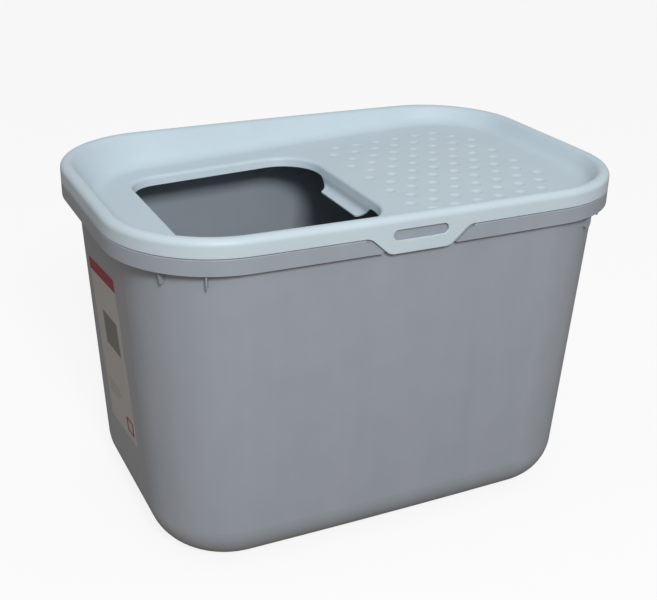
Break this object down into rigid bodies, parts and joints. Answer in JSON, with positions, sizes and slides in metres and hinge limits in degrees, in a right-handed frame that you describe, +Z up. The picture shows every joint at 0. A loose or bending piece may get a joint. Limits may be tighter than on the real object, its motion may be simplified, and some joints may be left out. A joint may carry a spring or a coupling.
{
  "type": "top entry litter box",
  "caption": "Deep rectangular pet litter tub with a lift-off dished lid that has a top entry hole, a dimpled landing and flexing snap tabs.",
  "frame": {"origin": "centre of the surface that the tub stands on", "axes": "+X along the box away from the entry end, -Y the front with the visible snap tab, +Z up"},
  "size_m": [0.585, 0.39, 0.395],
  "materials": {
    "tub_plastic": "satin moulded polypropylene, mid grey",
    "lid_plastic": "satin moulded polypropylene, pale blue-white",
    "label_paper": "coated paper label, pale with a crimson band"
  },
  "bodies": {
    "tub": {"tub": "tub_plastic", "side_label": "label_paper"},
    "lid": {"lid": "lid_plastic"},
    "front_tab": {"front_snap_tab": "lid_plastic"},
    "rear_tab": {"rear_snap_tab": "lid_plastic"}
  },
  "joints": [
    {"name": "lid_lift", "type": "slide", "parent": "tub", "child": "lid", "axis": [0, 0, 1], "range_m": [0, 0.12]},
    {"name": "front_tab_flex", "type": "hinge", "parent": "lid", "child": "front_tab", "pos_m": [0, -0.195, 0.3865], "axis": [-1, 0, 0], "range_deg": [0, 9], "stiffness_Nm_per_rad": 2},
    {"name": "rear_tab_flex", "type": "hinge", "parent": "lid", "child": "rear_tab", "pos_m": [0, 0.195, 0.3865], "axis": [1, 0, 0], "range_deg": [0, 9], "stiffness_Nm_per_rad": 2}
  ]
}
